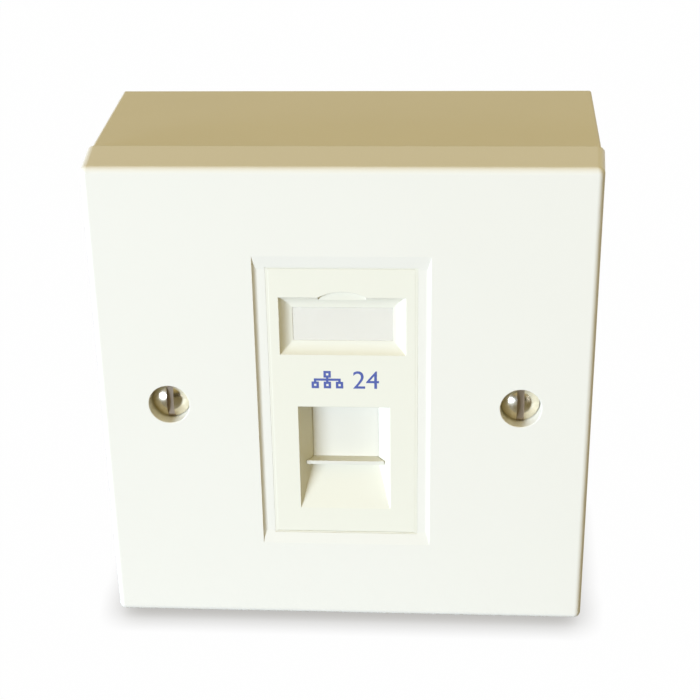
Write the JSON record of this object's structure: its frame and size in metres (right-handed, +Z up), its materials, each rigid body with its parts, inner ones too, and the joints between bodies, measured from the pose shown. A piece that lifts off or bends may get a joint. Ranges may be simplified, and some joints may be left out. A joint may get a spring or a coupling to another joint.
{
  "type": "ethernet socket",
  "caption": "Square wall box with a screwed faceplate and a snap-in network module: label window, sprung shutter over the plug port, wire terminals behind.",
  "frame": {"origin": "centre of the box's back face, which lies against the wall", "axes": "+Y into the wall, so the faceplate faces -Y; +Z up; +X to the right seen from the front"},
  "size_m": [0.088, 0.045, 0.088],
  "materials": {
    "box_plastic": "satin moulded white plastic",
    "plate_plastic": "polished moulded white plastic",
    "module_plastic": "polished moulded cream-white plastic",
    "shutter_plastic": "moulded white plastic",
    "jack_plastic": "black moulded plastic",
    "terminal_plastic": "white moulded plastic",
    "cap_plastic": "white moulded plastic",
    "window_clear": "clear moulded plastic",
    "card_paper": "plain white card",
    "screw_nickel": "nickel-plated, slightly warm",
    "insert_brass": "turned brass",
    "contact_gold": "gold-plated wire",
    "blade_tin": "tin-plated bronze",
    "spring_steel": "drawn spring wire",
    "board_green": "green lacquered circuit board"
  },
  "bodies": {
    "housing": {"back_box": "box_plastic", "box_inserts": "insert_brass", "faceplate": "plate_plastic", "faceplate_screws": "screw_nickel", "module_bezel": "module_plastic", "label_window": "window_clear", "label_card": "card_paper", "shutter_spring": "spring_steel", "jack_housing": "jack_plastic", "contact_carrier": "jack_plastic", "contact_1": "contact_gold", "contact_2": "contact_gold", "contact_3": "contact_gold", "contact_4": "contact_gold", "contact_5": "contact_gold", "contact_6": "contact_gold", "contact_7": "contact_gold", "contact_8": "contact_gold", "circuit_board": "board_green", "idc_block_left": "terminal_plastic", "idc_block_right": "terminal_plastic", "idc_blade_1": "blade_tin", "idc_blade_2": "blade_tin", "idc_blade_3": "blade_tin", "idc_blade_4": "blade_tin", "idc_blade_5": "blade_tin", "idc_blade_6": "blade_tin", "idc_blade_7": "blade_tin", "idc_blade_8": "blade_tin", "idc_cap_left": "cap_plastic", "idc_cap_right": "cap_plastic"},
    "shutter": {"shutter": "shutter_plastic"}
  },
  "joints": [
    {"name": "shutter_slide", "type": "slide", "parent": "housing", "child": "shutter", "axis": [0, 0, 1], "range_m": [0, 0.0094], "stiffness_N_per_m": 40, "springref_m": -0.02, "deforming": ["shutter_spring"]}
  ]
}
